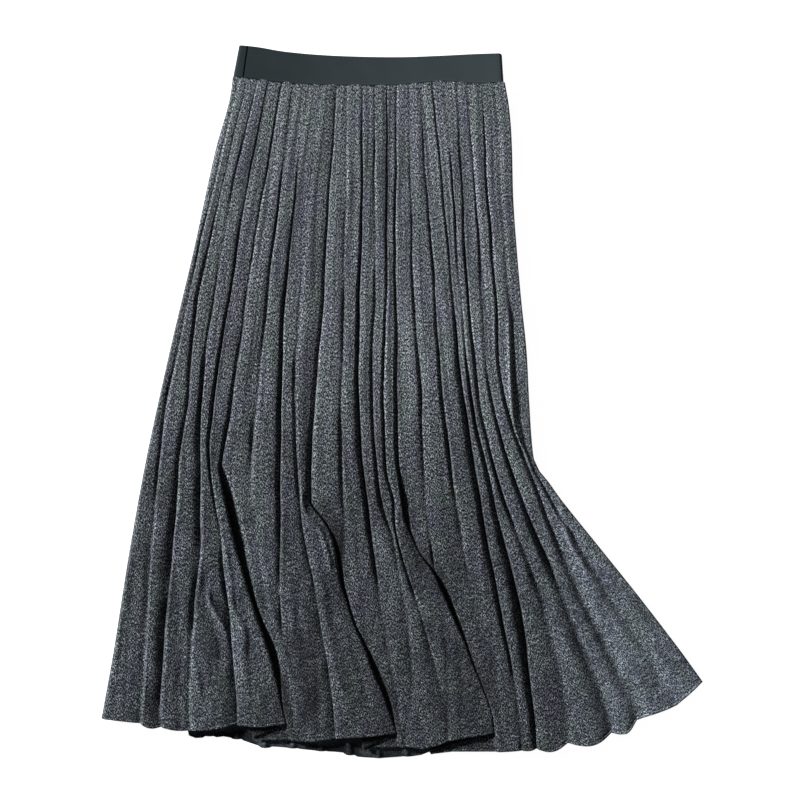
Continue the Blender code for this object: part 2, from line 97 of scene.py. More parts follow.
# x of a groove at the stations, x and down at its hem; and of the pleat to its right: where its crest lies at
# the knees, as a share of its width, and how far its hem bows down
Groove = namedtuple("Groove", "name xs hem_x hem_down crests hem_bow")
GROOVES = [Groove(*row) for row in (
    ("a", (-191, -218, -243, -267, -281, -289, -297), -298, 773, (0.5, 0.3, 0.2), 3.5),
    ("b", (-181, -208, -232, -247, -257, -267, -276), -275, 777, (0.5, 0.3, 0.18), 2),
    ("c", (-169, -195, -214, -229, -230, -237, -242), -242, 781, (0.45, 0.25, 0.15), 2),
    ("d", (-156, -178, -197, -213, -212.5, -198.5, -188), -187, 774, (0.5, 0.3, 0.25), 3),
    ("e", (-140, -159, -178, -193, -209, -185, -173), -169, 792, (0.5, 0.3, 0.5), 0.5),
    ("f", (-126, -140, -153, -165, -172, -155, -149), -148, 793, (0.5, 0.3, 0.35), 0),
    ("g", (-108, -122, -133, -138, -138.5, -139, -127), -126, 793, (0.5, 0.25, 0.25), 2.5),
    ("h", (-92, -106, -115, -122, -116, -97, -78), -76, 790, (0.5, 0.35, 0.3), 1),
    ("i", (-75, -83, -90, -99, -104, -78, -55), -43, 805, (0.5, 0.65, 0.6), 0),
    ("j", (-63, -64, -66, -69, -67, -61, -38), -30, 801, (0.5, 0.3, 0.5), 0.5),
    ("k", (-45, -45.5, -48, -50, -39.5, -25, -6), 3, 800, (0.5, 0.55, 0.4), 0),
    ("l", (-31, -30.5, -31, -34, -24, 3, 16), 23, 802, (0.5, 0.5, 0.5), 1),
    ("m", (-17, -17, -18, -21, -15, 17, 49), 55, 793, (0.5, 0.6, 0.5), 0),
    ("n", (-6, -7, -7, -6, -1, 15, 30), 32, 809, (0.5, 0.7, 0.5), 0),
    ("o", (8, 10, 14, 22, 27, 41, 55), 57, 806, (0.5, 0.35, 0.6), 0),
    ("p", (22, 29, 38.5, 46, 62, 80, 98), 102, 806, (0.5, 0.45, 0.7), 0.5),
    ("q", (36, 48, 58, 71, 89, 110, 132), 136, 804, (0.5, 0.5, 0.65), 1.5),
    ("r", (49, 59, 67, 80, 104, 128, 148), 154, 802, (0.5, 0.4, 0.7), 6.5),
    ("s", (63, 69, 76, 88, 117, 160, 185), 189, 795, (0.5, 0.5, 0.65), 8.5),
    ("t", (76, 84, 92, 102, 137, 185, 231), 238, 784, (0.5, 0.5, 0.65), 7.5),
    ("u", (92, 98, 107, 117, 159, 206, 264), 268, 770, (0.5, 0.5, 0.6), 0),
)]
FIRST_CRESTS = (0.45, 0.45, 0.45)
LAST_CRESTS = (0.5, 0.5, 0.5)
LAST_GROOVE_SHARE = 0.5  # the last groove runs half-way from the one before it to the side seam
LAST_GROOVE_HEM_DOWN = 753

# outer bends of the pleats that topple to the right: down, x
LAPS = {
    "d": ((60, -148), (175, -169), (290, -187), (405, -202), (455, -212), (490, -208), (519, -202),
          (576, -188.5), (633, -171.5), (690, -152.5), (724, -143.5), (735, -141.5), (747, -139),
          (764, -135.5), (774, -132.5)),
    "h": ((60, -83), (175, -94), (290, -103), (405, -112), (470, -116), (500, -113), (524, -104), (536, -95),
          (547, -87), (559, -81), (576, -76.5), (598, -73.1), (616, -69.7), (633, -64), (661, -54.5),
          (690, -41.5), (701, -38), (718, -32), (735, -24), (758, -15.5), (775, -10), (785, -7)),
    "m": ((60, -12), (175, -12), (290, -12), (405, -12), (470, -7), (500, -3), (519, -0.7), (541, 2.2),
          (553, 6.7), (564, 12.4), (581, 20.4), (598, 33), (616, 42), (633, 50), (644, 54.6), (661, 62),
          (678, 70), (692, 75), (707, 80.8), (724, 87.7), (741, 94.5), (752, 99), (767, 103), (785, 105)),
}
LEVEL_HEM = 800  # sections run level across the skirt, and curve towards the hem near it

# ---- fine form of the cloth
# down; and there, from 0 to 9 for each groove: how deep it is and how dark its painted shade, and how wide a
# slope leads into it
FINE = (60, 120, 177, 234, 291, 348, 405, 462, 519, 576, 633, 690, 747, 792)
CREASED = {
    "a": "33442344433233 00000000000110",
    "b": "44446645666665 00001001267787",
    "c": "44334586756321 00000012342100",
    "d": "56487888766554 00000010001363",
    "e": "55434466888888 00000000000000",
    "f": "33665424210000 00000000000000",
    "g": "32688888775421 00001111143200",
    "h": "21002345443454 00000000001453",
    "i": "56666556788888 00000001222222",
    "j": "33225444543210 00000000000000",
    "k": "46888888884321 00011112221000",
    "l": "34434566721100 00000000100000",
    "m": "68865566773453 00000000000210",
    "n": "34556567888888 00000001222222",
    "o": "43445564356666 00000000010000",
    "p": "44465666433100 00000000000000",
    "q": "46664888878744 00000123211000",
    "r": "34842488588876 00000011268654",
    "s": "34577546833332 00010000101356",
    "t": "34652266664321 00000000112465",
    "u": "36666654421111 00000000012440",
    "v": "00000012221110 00000000000000",
}
# the side seams, as weak grooves: a little depth and painted shade, and no slope
SEAM_DIGITS = "4" * len(FINE) + " " + "0" * len(FINE)
TOP_DIGIT = 9
DIGIT_POWER = 2  # a groove's depth and the darkness of its painted shade grow with this power of its digit
# how far a groove's sides reach: at least this, from the waist down
NARROW = ((60, 1), (177, 1.2), (291, 1.5), (405, 1.7))
WEAK_REACH = 2.6  # more for the weakest grooves
SPREAD = {"s": 4, "t": 6, "u": 7, "v": 6}  # more for these towards the hem
SPREADS_WITHIN = (520, 660)
SOFT = ((60, 0.02), (291, 0.05), (405, 0.09))  # more at its left, as a share of the pleat's width there
FLANK = 1.65  # and for each step of its second digit
MOST_WALL = 0.28  # but at most these shares of the width of the pleat at its right and at its left
MOST_FLANK = 0.65
LAST_WALL = 0.8  # and less at the side seam
WIDE_FLANK = (3, 9)  # reach of a narrow and of a wide left flank
# power of the rise from a groove and of the fading of its painted shade, also for a wide left flank
STEEP, GENTLE = 1.7, 2.2
FADE, NARROW_FADE, WIDE_FADE = 1.3, 1.1, 1.8
# down; width of the gap beside the outer bend of a toppled pleat, how high the cloth rises beyond it, how
# dark the painted shadow is there and how far that reaches
GAPS = {
    "d": ((462, 3, 4, 0.8, 3), (505, 8, 4, 1, 8), (519, 10, 4, 1, 10), (564, 11, 4, 1, 11),
          (598, 7, 4.5, 1, 8), (633, 3.5, 5.5, 1, 5), (655, 3.5, 5.5, 1, 5), (678, 7.5, 4.5, 1, 8.5),
          (695, 9, 4, 1, 10), (712, 7, 4, 0.95, 9), (724, 4, 4, 0.85, 10), (735, 2, 3.5, 0.8, 12),
          (747, 0.5, 3.5, 0.75, 12.5), (764, 0, 3.5, 0.65, 13.5), (775, 0, 3.5, 0.5, 11)),
    "h": ((470, 0, 5.5, 0.1, 3), (500, 0, 5.5, 0.3, 10), (519, 0, 5, 0.45, 26), (536, 0, 4.8, 0.5, 26),
          (550, 0, 4.5, 0.65, 21), (562, 0, 4, 0.8, 17), (576, 1.5, 4.5, 0.95, 10.5), (585, 3, 4.5, 1, 8),
          (598, 4, 5, 1, 6), (616, 3, 5, 1, 4.5), (633, 2.5, 5, 0.95, 3.5), (645, 1, 5, 0.8, 2.5),
          (661, 0.5, 5, 0.85, 2.5), (684, 1.5, 4.5, 0.9, 3.5), (701, 5, 4.5, 0.9, 8), (718, 7, 4.5, 0.85, 11),
          (735, 6, 4.5, 0.8, 12), (758, 4, 4.5, 0.75, 10), (776, 1, 4.5, 0.6, 6), (785, 0, 4, 0.3, 3)),
    "m": ((480, 1, 4, 0.5, 1.5), (500, 3.5, 4, 0.85, 4), (519, 6, 4, 1, 6), (541, 5, 4, 0.9, 5.5),
          (553, 1, 5.5, 0.55, 3), (564, 0, 6.5, 0.3, 3), (581, 0, 6.5, 0.45, 12), (598, 2, 6, 0.6, 16),
          (607, 5, 5, 0.75, 13), (621, 6.5, 4.5, 0.9, 9), (633, 5.5, 4, 0.95, 5.5), (644, 4.5, 4, 1, 4.5),
          (661, 3, 4, 1, 3.5), (678, 1, 4.5, 0.85, 3.5), (692, 0.5, 4.5, 0.8, 5), (707, 0.5, 4.5, 0.75, 6),
          (724, 0.5, 4.5, 0.75, 7), (741, 0.5, 4.5, 0.7, 7), (752, 0, 4.5, 0.5, 6), (767, 0, 4.5, 0.3, 4)),
}
# down; how far the outer bend of a toppled pleat sinks
SINK = {"d": ((462, 1), (505, 0), (712, 0), (735, 1.5), (750, 2.5), (775, 3)),
        "h": ((462, 3), (525, 3), (548, 2), (575, 0), (620, 1.5), (640, 2), (670, 0), (745, 0),
              (785, 3)),
        "m": ((462, 1), (519, 0), (541, 1), (565, 3.8), (592, 3.4), (610, 2.2), (640, 0.5), (662, 0.5),
              (695, 2.5), (785, 4.5))}
GAP_EDGE = (-1, 3)  # from the gap's width to where the cloth begins and ends to rise beyond it
GAP_SLOPE = 60  # and how much further it is at its own height
# creases and ridges between the grooves: half width, depth (a ridge below 0), how dark the painted shade (a
# painted highlight below 0), points (down, x)
CREASES = (
    (2.8, -2, -0.55, (521, -114.1), (535, -109.6), (545, -100.4), (556, -91.3), (570, -87.9), (587, -82.2)),
    (2.4, -2.4, -0.7, (633, -220.1), (646, -213.3), (658, -206.5), (671, -198.5)),
    (3, -1.5, -0.35, (624, -197.3), (644, -190.5), (661, -181.4), (678, -178)),
    (4.5, -0.8, -0.2, (678, -184.8), (695, -181.4), (715, -181.4)),
    (2.8, -1.2, -0.25, (559, -205.3), (587, -198.5), (610, -195.1), (627, -192.8)),
    (4.5, 1.4, 0.5, (616, -224.7), (628, -214.4), (636, -205.3), (646, -200.8)),
    (4, 1.2, 0.5, (646, -223.6), (661, -215.6), (678, -209.9), (692, -206.5)),
    (3, 0.5, 0.2, (707, -216.7), (747, -212.2), (787, -211)),
    (2.2, 0.8, 0.3, (695, -235), (718, -228.1), (741, -223.6)),
    (2.2, -0.7, -0.2, (678, -238.4), (701, -235), (724, -231.5)),
    (2.4, -0.8, -0.25, (524, -279.4), (570, -284), (633, -287.4), (690, -290.8), (747, -293.1)),
    (2.4, 0.9, 0.3, (690, -174.5), (735, -170), (781, -171.1)),
    (3.2, -1.1, -0.35, (587, -159.7), (621, -152.9), (656, -143.8), (690, -134.6), (724, -125.5),
     (764, -117.5)),
    (12, 1.8, 0.9, (676, -112), (712, -106), (750, -99)),
    (3.2, 0.9, 0.3, (695, -98.2), (735, -95.9), (781, -95.9)),
    (4.5, -1.3, -0.4, (633, -91.3), (678, -82.2), (724, -73.1), (747, -59.4)),
    (4.5, -1.2, -0.3, (587, -98.2), (610, -93.6), (633, -86.8)),
    (3, 0.8, 0.25, (587, -119.8), (621, -116.4), (656, -118.7)),
    (4.5, -0.8, -0.2, (604, -118.7), (633, -114.1), (661, -109.6)),
    (10, -2.6, -0.5, (573, -19.5), (593, -8.1), (621, 9), (644, 29.5)),
    (3, 1, 0.35, (678, -18.4), (712, -11.5), (747, -4.7)),
    (2.8, 0.8, 0.3, (690, 9), (735, 11.3), (787, 4.4)),
    (2.6, 1, 0.35, (678, 50), (724, 52.3), (787, 52.3)),
    (6, 0.8, 0.35, (684, 29.5), (730, 34.1)),
    (2.6, 0.5, 0.2, (701, 67.1), (747, 68.3), (787, 67.1)),
    (3, -0.8, -0.15, (587, 88.8), (621, 93.4), (656, 96.8)),
    (2.4, 0.9, 0.3, (701, 104.8), (735, 109.3), (764, 111.6)),
    (3, 0.8, 0.2, (578, 214.2), (604, 225.6), (635, 250.7), (678, 271.2)),
    (3, 0.8, 0.2, (690, 282.6), (724, 291.7), (747, 284.9)),
    (3, -1.2, -0.3, (507, 177.7), (536, 183.4), (570, 192.5), (596, 208.5)),
    (3, 1, 0.5, (376, 126.4), (410, 128.7), (439, 133.3), (458, 136.7)),
    (2.2, -1.4, -0.35, (314, 121.9), (370, 123), (405, 124.1), (437, 127.6), (457, 135.5), (475, 145.8)),
    (2.4, 0.7, 0.2, (291, 127.6), (336, 125.3), (376, 127.6)),
    (3, 0.8, 0.25, (656, -315.9), (724, -323.9), (769, -330.7)),
    (3.5, 0.7, 0.2, (587, -303.4), (656, -310.2), (735, -315.9)),
    (2.4, -0.8, -0.25, (519, -134.6), (587, -136.9), (633, -139.2)),
    (2.6, -0.8, -0.25, (524, -225.8), (576, -227), (621, -231.5), (667, -236.1)),
    (2.4, -0.8, -0.25, (524, -253.2), (576, -260), (633, -264.6), (690, -266.9), (747, -270.3)),
    (4, 0.7, 0.2, (587, -262.3), (633, -253.2), (678, -255.5)),
    (3, 0.7, 0.2, (695, -249.8), (735, -255.5), (769, -253.2)),
    (4, 0.8, 0.25, (542, -167.7), (587, -159.7), (633, -155.2)),
    (3.5, 0.7, 0.2, (542, -51.4), (598, -48), (656, -41.2)),
    (3.5, 0.8, 0.25, (678, -57.1), (724, -45.7), (764, -36.6)),
)
CREASE_FADE = 22
PAINTED_GROOVE_SHADE = 0.85  # painted shade: how much darker the knit's colour is made at the bottom of the deepest grooves
# painted shade in the creases and painted highlight on the ridges
PAINTED_CREASE_SHADE = 0.6
# down; how high the cloth stands above the lowest grooves
RISE = ((36, 2.4), (60, 3), (120, 4.2), (177, 5), (234, 5.8), (291, 6.8), (348, 7.6), (405, 8.2),
        (519, 8.6), (633, 8.6), (747, 8), (LENGTH, 7.6))
# fall to both sides of a pleat's crest, for each millimetre of its width
TILT = ((60, 0.03), (177, 0.05), (291, 0.09), (405, 0.13), (576, 0.15), (747, 0.13))
LOBE_TILT = 0.4  # share of it on a toppled pleat
RIDGE = 0.28  # roundness of the crest, as a share of the width
# pleats that lie lower: down, share of the rise
LOWER = {"u": ((405, 0.9), (519, 0.5), (747, 0.3)), "v": ((300, 0.8), (405, 0.6), (519, 0.3), (747, 0.2)),
         "t": ((405, 1), (519, 0.8), (747, 0.55)), "side": ((60, 0.8), (747, 0.75))}
FULL_RISE = ((60, 1), (747, 1))
# slight bends of the grooves between the stations: down, to the right, reach
WANDER = {"d": ((462, -6, 38), (560, 3, 30)), "b": ((405, 3.5, 40),), "c": ((576, 3, 40),),
          "l": ((560, 5, 30),), "m": ((519, 6, 24),), "r": ((633, 6, 70),)}
WAIST_OVER = 8.1  # lowest middle of the knit where it lies over the band's lower edge
OVER_WITHIN = (1, 9)  # how far below that edge it comes down
PATCH_APART = 60  # from patch to patch of the cloth's map
SCALLOP = 1.6  # how far the gathered upper edge rises over the band between two grooves
CORNER = 4  # radius of the band's corner at the top right
# share of the band's height from its edge, and how much its woven edge stands up there
BAND_EDGE = ((0, -0.35), (0.012, 0), (0.03, 0.16), (0.055, 0.12), (0.075, 0))
# from the band's left end, and how much the tape's lapped end stands up there
LAP_END = ((2.75, 0.7), (4.2, 0.75), (6, 0.75), (7.6, 0.75), (8.2, 0.7), (8.5, 0.5), (8.7, -0.35),
           (9.3, -0.35), (9.5, 0), (11, 0), (14, 0))
LAP_SLANT = 1.7  # how much further right the lapped end is at the band's lower edge
# before the hem, change of height: the turned edge and the line of stitches above it
HEM_EDGE = ((7, 0), (4.6, 0), (3.9, -0.1), (3.2, -0.5), (2.5, 0.3), (1.2, 0.35), (0.35, 0.15),
            (0, -0.1))

# ---- how finely it is divided
FRONT_ROWS = 133
BACK_ROWS = 91
SEAM_ROWS = (0, 0.0035, 0.007, 0.0105, 0.015)
EDGE_FROM = 0.98  # share of the way down where the front's hem edge has rows of its own
CLOSER = 0.42  # how much closer the rows lie towards the hem
WALL_STEPS = 3
TOP_STEP = 2.5  # millimetres across a pleat's top, near the hem
TOP_STEPS = (7, 14)  # but no fewer and no more than these
TOP_DOWN = 690  # where its width is taken
UPRIGHT_PARTS = [("right", 5)]
TOPPLED_PARTS = [("outer", 8), ("layer", 2), ("inner", 4)]
FOLD_SIDES = (-1, -0.55, -0.25, 0, 0.25, 0.55, 1)  # columns across a fold of the back
FACE_STEPS = (0.25, 0.5, 0.75)  # and across the face between two of them
BAND_ROWS = 19
BAND_STEPS = (56, 50)  # along its front and back layer
BAND_BENDS = [PI * step / 10 for step in range(10)]


# ---- numbers
def lerp(start, end, share):
    return start + (end - start) * share


def ease(low, high, value):
    """0 below low, 1 above high, and a smooth step between them."""
    share = np.clip((value - low) / (high - low), 0, 1)
    return share * share * (3 - 2 * share)


def curve(points, at):
    """The value at `at` on a smooth curve through (at, value) points, straight on past its ends."""
    places, values = np.array(points, float).T
    at = np.asarray(at, float)
    index = np.arange(len(places))
    ahead, behind = np.minimum(index + 1, index[-1]), np.maximum(index - 1, 0)
    slopes = (values[ahead] - values[behind]) / (places[ahead] - places[behind])
    i = np.clip(np.searchsorted(places, at, "right") - 1, 0, len(places) - 2)
    span = places[i + 1] - places[i]
    t = np.clip((at - places[i]) / span, 0, 1)
    inside = ((1 + 2 * t) * (1 - t) ** 2 * values[i] + t * (1 - t) ** 2 * span * slopes[i]
              + t * t * (3 - 2 * t) * values[i + 1] - t * t * (1 - t) * span * slopes[i + 1])
    return (inside + slopes[0] * np.minimum(at - places[0], 0)
            + slopes[-1] * np.maximum(at - places[-1], 0))


def straight(points, at):
    """The value at `at` on straight lines between (at, value) points, or each value where they have more."""
    places, *rows = np.array(points, float).T
    values = [np.interp(at, places, row) for row in rows]
    return values if len(values) > 1 else values[0]


def phase(name):
    return sum(map(ord, name))


def section_down(fraction, top, hem):
    """How far down a section crosses a column that runs from `top` to `hem`."""
    return lerp(top, LEVEL_HEM, fraction) + (hem - LEVEL_HEM) * fraction ** 4


def along(points, name=None):
    """x of a line along the skirt, with its slight bends and, where it has a name, a slight unevenness."""
    turn = 2.1 * phase(name or "")

    def x(down):
        place = curve(points, down)
        for at, to_right, reach in WANDER.get(name, ()):
            place = place + to_right * np.exp(-((down - at) / reach) ** 2)
        if name:
            uneven = (0.35 * np.sin(down / 15 + turn) + 0.5 * np.sin(down / 31 + 2.3 * turn)
                      + 0.12 * np.sin(down / 7.1 + 3.7 * turn))
            place = place + uneven * ease(60, 140, down)
        return place
    return x


def share_between(values):
    """A share along the skirt from its values at the knees."""
    points = tuple(zip(KNEES, values))
    return lambda down: np.clip(curve(points, down), 0, 1)


def fine(digits):
    """A value along the skirt from its digits at the fine stations."""
    values = [float(digit) for digit in digits]
    return lambda down: np.interp(down, FINE, values)


# ---- front panel
class Valley:
    """A groove or a side seam; `inner` is the inner bend's line if the pleat to its right topples."""

    def __init__(self, name, x, hem_down):
        self.name, self.x, self.hem_down = name, x, hem_down
        self.left = self.right = self.inner = None
        self.digit, self.flank = map(fine, CREASED.get(name, SEAM_DIGITS).split())

    def strength(self, down):
        """0 where the groove has faded out, 1 where it is deepest."""
        turn = 1.7 * phase(self.name)
        uneven = 1 + 0.1 * np.sin(down / 19 + turn) + 0.08 * np.sin(down / 7.7 + 2.9 * turn)
        return np.clip(self.digit(down) * uneven, 0, TOP_DIGIT) / TOP_DIGIT

    def shade(self, down):
        """How dark its painted shade is, and how deep it is as a share of the rise."""
        return self.strength(down) ** DIGIT_POWER

    def soft(self, down):
        """How far its sides reach beyond the least."""
        spread = SPREAD.get(self.name, 0) * ease(*SPREADS_WITHIN, down)
        return WEAK_REACH * (1 - self.strength(down)) + spread

    def height(self, down):
        if self.name not in CREASED:
            return 1.5 * KNIT + SEAM_GAP + 0 * down
        depth = curve(RISE, down) * self.shade(down)
        beside = np.minimum(self.left.level(1, down), self.right.level(0, down))
        height = np.maximum(beside - depth, FRONT_LOW)
        if self.inner:
            over = ease(*LIFT_WITHIN, self.x(down) - self.inner(down))
            height = np.maximum(height, lerp(height, FRONT_LOW + LIFTED_LAYERS * FOLD_STEP, over))
        return height


class Pleat:
    """The cloth between two neighbouring grooves; `outer` is the line of its outer bend if it topples."""

    def __init__(self, number, left, right, face):
        name, crests, hem_bow = face
        self.name, self.number, self.left, self.right = name, number, left, right
        self.crest, self.hem_bow, self.lower = share_between(crests), hem_bow, LOWER.get(name, FULL_RISE)
        lap = LAPS.get(name)
        self.outer, self.outer_hem_down = (along(lap), lap[-1][0]) if lap else (None, None)
        left.inner = right.x if lap else None
        left.right = right.left = self

    def passed(self, down):
        """How far its outer bend is past the groove to its right."""
        return self.outer(down) - self.right.x(down)

    def lapped(self, down):
        """From 0 where it stands upright to 1 where it has toppled."""
        return ease(*LAPS_WITHIN, self.passed(down))

    def bend(self, down):
        """Radius of its bends."""
        return np.clip(self.passed(down) / 2, SHARP_BEND, ROLL_REACH)

    def hem(self, across, right):
        """Down at its hem, that share of the way from its left groove to an end at `right`."""
        return lerp(self.left.hem_down, right, across) + self.hem_bow * math.sin(PI * across)

    def level(self, across, down):
        """Height of the pleat's face, that share of the way across it, without its grooves."""
        right = np.maximum(self.outer(down), self.right.x(down)) if self.outer else self.right.x(down)
        width = right - self.left.x(down)
        turn = 2.4 * self.number
        waves = 1 + 0.06 * np.sin(down / 41 + turn) + 0.04 * np.sin(down / 19 + 3.1 * turn)
        height = FRONT_LOW + curve(RISE, down) * waves * straight(self.lower, down)
        fall = straight(TILT, down) * width * (LOBE_TILT if self.outer else 1)
        off = np.sqrt((across - self.crest(down)) ** 2 + RIDGE ** 2) - RIDGE
        sink = straight(SINK[self.name], down) * across ** 2 if self.outer else 0
        return height - fall * off - sink


def front_pleats():
    """The pleats of the front panel from left to right."""
    left_side, right_side = along(LEFT_SIDE), along(RIGHT_SIDE)
    valleys = [Valley("left side", left_side, LEFT_SIDE[-1][0])]
    for row in GROOVES:
        points = [*zip(STATIONS, row.xs), (row.hem_down, row.hem_x)]
        valleys.append(Valley(row.name, along(points, row.name), row.hem_down))
    before = valleys[-1].x
    valleys.append(Valley("v", lambda down: lerp(before(down), right_side(down), LAST_GROOVE_SHARE),
                          LAST_GROOVE_HEM_DOWN))
    valleys.append(Valley("right side", right_side, RIGHT_SIDE[-1][0]))
    faces = [("side", FIRST_CRESTS, 0), *((row.name, row.crests, row.hem_bow) for row in GROOVES)]
    faces.append(("v", LAST_CRESTS, 0))
    return [Pleat(number, *each) for number, each in enumerate(zip(valleys, valleys[1:], faces))]


def shoulder(across, power):
    """How far up a groove's side the cloth is, that share of the way across the side."""
    return 1 - (1 - np.clip(across, 0, 1)) ** power


def fading(across, power):
    """How much of the groove's painted shade is left on the side there."""
    return np.clip(1 - across, 0, 1) ** power


def upright(pleat, part, share, down):
    """x, height and painted shade of an upright pleat, `share` of the way across its left side, top or right.
    """
    before, after = pleat.left, pleat.right
    left, right, narrow = before.x(down), after.x(down), straight(NARROW, down)
    width = right - left
    wall_left = np.minimum(narrow + before.soft(down), MOST_WALL * width)
    wall_right = narrow + after.soft(down) + straight(SOFT, down) * width + FLANK * after.flank(down)
    wall_right = np.minimum(wall_right, MOST_FLANK * width) if after.name in CREASED else LAST_WALL * narrow
    x = {"left": left + wall_left * share, "top": lerp(left + wall_left, right - wall_right, share),
         "right": right - wall_right * (1 - share)}[part]
    level = pleat.level((x - left) / width, down)
    from_left, from_right = (x - left) / wall_left, (right - x) / wall_right
    wide = ease(*WIDE_FLANK, wall_right)
    height = (level - (level - before.height(down)) * (1 - shoulder(from_left, STEEP))
              - (level - after.height(down)) * (1 - shoulder(from_right, lerp(STEEP, GENTLE, wide))))
    painted_shade = (before.shade(down) * fading(from_left, FADE)
              + after.shade(down) * fading(from_right, lerp(NARROW_FADE, WIDE_FADE, wide)))
    return x, height, painted_shade


def toppled(pleat, part, share, down):
    """The same for a toppled pleat: its left side, its top, and both its bends with a layer between them."""
    left, inner, outer = pleat.left.x(down), pleat.right.x(down), pleat.outer(down)
    bend, turn = pleat.bend(down), PI * share
    lap_top = pleat.level((outer - bend - left) / (outer - left), down)
    under = FRONT_LOW + FOLD_STEP
    roll = np.clip(lap_top - under - LAP_RISE, LAP_STEP, LAP_ROLL)
    # the third value is painted shade: on the underside of the outer bend, and full on the layer and inner
    # bend beneath
    if part == "outer":
        height = lap_top - roll / 2 * (1 - np.cos(turn))
        return outer - bend * (1 - np.sin(turn)), height, ease(0.35, 0.6, share)
    if part == "layer":
        return lerp(outer - bend, inner + bend, share), lerp(lap_top - roll, under, shoulder(share, 2)), 1
    if part == "inner":
        return inner + bend * (1 - np.sin(turn)), FRONT_LOW + FOLD_STEP / 2 * (1 + np.cos(turn)), 1
    wall = np.minimum(straight(NARROW, down), MOST_WALL * (outer - left))
    x = left + wall * share if part == "left" else lerp(left + wall, outer - bend, share)
    level = pleat.level((x - left) / (outer - left), down)
    painted_shade = pleat.left.shade(down) * fading((x - left) / wall, FADE)
    return x, lerp(pleat.left.height(down), level, shoulder((x - left) / wall, STEEP)), painted_shade


def pressed(x, height, painted_shade, laps, down):
    """Cloth at x that may lie beside a lap at its left: low and with painted shadow in the gap, then slowly
    up again.
    """
    for pleat in laps:
        bent_in = x > pleat.right.x(down) - ROLL_REACH
        gap, rise, dark, reach = straight(GAPS[pleat.name], down)
        past, lapped = x - pleat.outer(down), pleat.lapped(down)
        start, end = (gap + edge for edge in GAP_EDGE)
        low = FRONT_LOW + rise * ease(start, end, past)
        clear = ease(end, end + GAP_SLOPE, past)
        flat = lerp(height, np.minimum(low, height), PRESSED_SHARE * lapped * (1 - clear))
        height = np.where(bent_in, flat, height)
        # painted shadow in the gap beside the outer bend
        shade = dark * lapped * (1 - ease(0.75 * reach - 1.5, reach + 1.5, past))
        painted_shade = np.where(bent_in, np.maximum(painted_shade, shade), painted_shade)
    return x, height, painted_shade


# `arch` is 0 in a groove and 1 between two; `under` is 1 where the cloth is folded under
Column = namedtuple("Column", "pleat hem_down place lapped arch under")
SIDE_ACROSS = 0.12  # each side's share of a pleat, for its arch


def arch(part, share):
    across = {"left": SIDE_ACROSS * share, "top": lerp(SIDE_ACROSS, 1 - SIDE_ACROSS, share),
              "right": lerp(1 - SIDE_ACROSS, 1, share)}[part]
    return 1 - abs(2 * across - 1) ** 3


def share_at_hem(pleat, part, share):
    """How far across an upright pleat a column is at the hem."""
    down = np.array([float(pleat.right.hem_down)])
    x, left, right = upright(pleat, part, share, down)[0], pleat.left.x(down), pleat.right.x(down)
    return float(np.clip((x - left) / (right - left), 0, 1)[0])


def upright_column(pleat, part, share, laps):
    after_lap = part == "left" and share == 0 and laps and laps[-1].right is pleat.left

    def place(down):
        x, height, painted_shade = upright(pleat, part, share, down)
        if after_lap:
            x = x + laps[-1].bend(down) * laps[-1].lapped(down)
        return pressed(x, height, painted_shade, laps, down)

    hem_down = pleat.hem(share_at_hem(pleat, part, share), pleat.right.hem_down)
    return Column(pleat, hem_down, place, lambda down: 0 * down, arch(part, share), 0)


def toppled_column(pleat, part, share, laps):
    # the same place where the pleat stands upright
    stood = {"left": ("left", share), "top": ("top", share), "outer": ("right", 0.5 * share),
             "layer": ("right", lerp(0.5, 0.7, share)), "inner": ("right", lerp(0.7, 1, share))}[part]
    to_outer = {"left": 0.1 * share, "top": lerp(0.1, 1, share)}.get(part, 1)
    back_under = {"layer": 0.8 * share, "inner": lerp(0.8, 1, share)}.get(part, 0)
    hem_down = lerp(pleat.hem(to_outer, pleat.outer_hem_down), pleat.right.hem_down, back_under)

    def place(down):
        upright_x, *upright_rest = upright(pleat, *stood, down)
        lap_x, *lap_rest = toppled(pleat, part, share, down)
        lapped = pleat.lapped(down)
        height, painted_shade = (lerp(start, end, lapped) for start, end in zip(upright_rest, lap_rest))
        return lerp(upright_x, lap_x, lapped), *pressed(upright_x, height, painted_shade, laps, down)[1:]

    return Column(pleat, hem_down, place, pleat.lapped, arch(*stood), float(part in ("layer", "inner")))


def front_columns():
    columns, laps = [], ()
    pleats = front_pleats()
    for pleat in pleats:
        width = (pleat.outer or pleat.right.x)(TOP_DOWN) - pleat.left.x(TOP_DOWN)
        top = int(np.clip(round(width / TOP_STEP), TOP_STEPS[0], TOP_STEPS[1] * (2 if pleat.outer else 1)))
        parts = [("left", WALL_STEPS), ("top", top)] + (TOPPLED_PARTS if pleat.outer else UPRIGHT_PARTS)
        column = toppled_column if pleat.outer else upright_column
        columns += [column(pleat, part, step / count, laps) for part, count in parts for step in range(count)]
        laps += (pleat,) if pleat.outer else ()
    columns.append(upright_column(pleats[-1], "right", 1, ()))
    return columns


def row_fractions(count, last=1):
    """Shares of the way from waist to hem, close together at the seam and closer towards the hem."""
    even = np.linspace(0, 1, count - len(SEAM_ROWS) + 1)[1:]
    start = SEAM_ROWS[-1]
    return np.concatenate([SEAM_ROWS, start + (last - start) * ((1 + CLOSER) * even - CLOSER * even ** 2)])


def wobble(x, down):
    """Slight unevenness of cloth that has been worn and folded."""
    return (0.34 * np.sin(x / 7.3 + 1.7 * np.sin(down / 31)) * np.sin(down / 23 + 0.6 * np.sin(x / 17))
            + 0.2 * np.sin(x / 3.7 + down / 37 + 1.3) * np.sin(down / 13 - x / 29)
            + 0.12 * np.sin(x / 1.7 + 2 * np.sin(down / 97)) * np.sin(down / 37 + x / 5)
            + 0.05 * np.sin(x / 0.8 + 2 * np.sin(down / 83)) * np.sin(down / 53 + x / 3.1))


